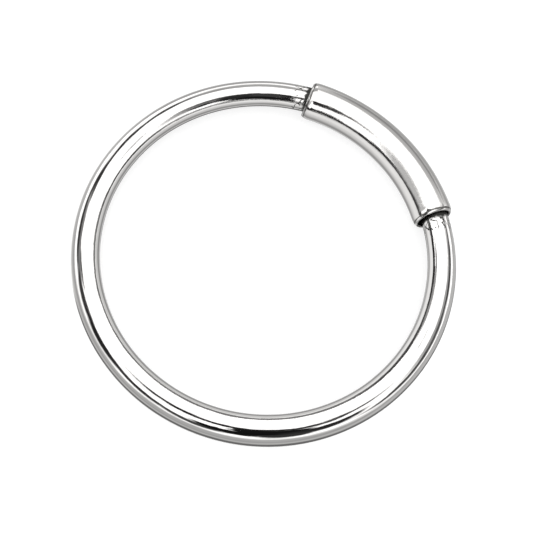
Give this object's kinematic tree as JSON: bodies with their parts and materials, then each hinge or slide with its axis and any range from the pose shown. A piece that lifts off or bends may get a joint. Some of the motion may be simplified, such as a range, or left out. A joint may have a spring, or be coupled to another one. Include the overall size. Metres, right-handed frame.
{
  "type": "key ring",
  "caption": "Round-wire key ring whose split is closed by a curved tube sleeve that slides along the wire to let keys on and off.",
  "frame": {"origin": "centre of the ring, on its axis, at half the height of its wire", "axes": "+Z along the ring's axis, up when the ring lies flat; the sleeve's middle is 41.3 degrees from +X towards +Y"},
  "size_m": [0.0351, 0.035, 0.0037],
  "materials": {
    "polished_wire": "mirror-polished round steel wire with fine handling and sliding marks",
    "polished_tube": "mirror-polished steel tube, slightly rippled by bending, with rounded lips"
  },
  "bodies": {
    "ring": {"ring_wire": "polished_wire"},
    "sleeve": {"sleeve": "polished_tube"}
  },
  "joints": [
    {"name": "sleeve_slide", "type": "hinge", "parent": "ring", "child": "sleeve", "pos_m": [0, 0, 0], "axis": [0, 0, 1], "continuous": true}
  ]
}
